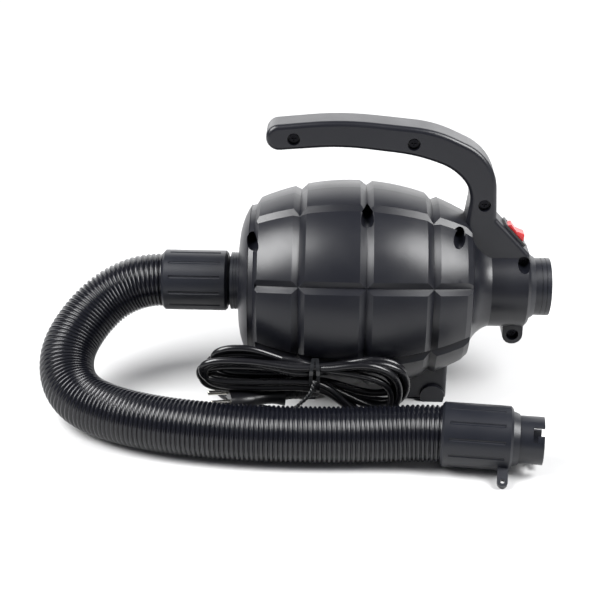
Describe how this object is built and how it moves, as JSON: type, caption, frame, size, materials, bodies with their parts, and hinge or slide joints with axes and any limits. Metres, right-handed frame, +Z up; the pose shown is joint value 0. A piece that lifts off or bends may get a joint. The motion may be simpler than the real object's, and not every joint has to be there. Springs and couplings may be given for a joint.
{
  "type": "electric air mattress pump",
  "caption": "Barrel-shaped electric air pump with a swept carrying handle, rocker switch, corrugated hose with cuffs and a tied mains lead.",
  "frame": {"origin": "on the floor under the middle of the pump's own box (hose and lead left out)", "axes": "+X along the pump's axis from the outlet to the suction port, -Y towards the hose and lead, +Z up"},
  "size_m": [0.4964, 0.2971, 0.2813],
  "materials": {
    "abs_black": "satin moulded ABS",
    "abs_port": "fine turned-look ABS",
    "hose_pe": "glossy flexible polyethylene",
    "cuff_abs": "satin ABS",
    "cord_pvc": "semi-gloss flexible PVC",
    "plug_pvc": "satin flexible PVC",
    "pin_nickel": "nickel-plated brass",
    "tie_plastic": "plastic-coated wire",
    "rocker_red": "translucent red polycarbonate",
    "switch_black": "moulded nylon",
    "screw_steel": "black zinc-plated steel",
    "steel": "plain ground steel",
    "lamination": "varnished electrical steel",
    "zinc_sheet": "zinc-plated sheet steel",
    "aluminium": "pressed aluminium",
    "copper_winding": "enamelled copper wire",
    "copper_bars": "turned copper",
    "brass": "drawn brass",
    "carbon": "pressed graphite",
    "bracket_nylon": "glass-filled nylon",
    "mount_rubber": "moulded rubber",
    "wire_brown": "PVC insulated wire",
    "wire_blue": "PVC insulated wire",
    "capacitor_yellow": "moulded case"
  },
  "bodies": {
    "pump_body": {"housing_near": "abs_black", "housing_far": "abs_black", "housing_screws": "screw_steel", "outlet_collar": "abs_port", "rear_port_collar": "abs_port", "inlet_guard": "abs_port", "switch_body": "switch_black", "switch_terminals": "brass", "field_stator": "lamination", "field_coils": "copper_winding", "front_end_bell": "bracket_nylon", "rear_bracket": "aluminium", "motor_screws": "steel", "brush_holders": "brass", "brush_caps": "brass", "carbon_brushes": "carbon", "brush_springs": "steel", "fan_shroud": "zinc_sheet", "diffuser": "bracket_nylon", "fan_seal_ring": "mount_rubber", "motor_mount_ring": "mount_rubber", "bearing_front_outer": "steel", "bearing_rear_outer": "steel", "bearing_balls": "steel", "cord_gland": "plug_pvc", "cord_end_inside": "cord_pvc", "cord_clamp_seat": "bracket_nylon", "cord_clamp_bar": "bracket_nylon", "cord_clamp_screws": "steel", "capacitor": "capacitor_yellow", "wire_to_switch": "wire_brown", "wire_from_switch": "wire_brown", "wire_to_motor": "wire_blue", "hose_cuff_pump": "cuff_abs", "hose_cuff_free": "cuff_abs", "hose": "hose_pe", "plug_body": "plug_pvc", "plug_pins": "pin_nickel", "plug_relief": "plug_pvc", "cord_lead": "cord_pvc", "cord_tail": "cord_pvc", "cord_hank": "cord_pvc", "cord_tie": "tie_plastic"},
    "rocker": {"switch_rocker": "rocker_red"},
    "rotor": {"armature_core": "lamination", "armature_winding": "copper_winding", "commutator": "copper_bars", "rotor_shaft": "steel", "bearing_front_inner": "steel", "bearing_rear_inner": "steel", "impeller": "aluminium", "impeller_spacer": "steel", "impeller_nut": "steel"}
  },
  "joints": [
    {"name": "rocker_switch", "type": "hinge", "parent": "pump_body", "child": "rocker", "pos_m": [0.11623, 0, 0.16552], "axis": [0, 1, 0], "range_deg": [0, 20]},
    {"name": "rotor_spin", "type": "hinge", "parent": "pump_body", "child": "rotor", "pos_m": [-0.025, 0, 0.1095], "axis": [1, 0, 0], "continuous": true}
  ]
}
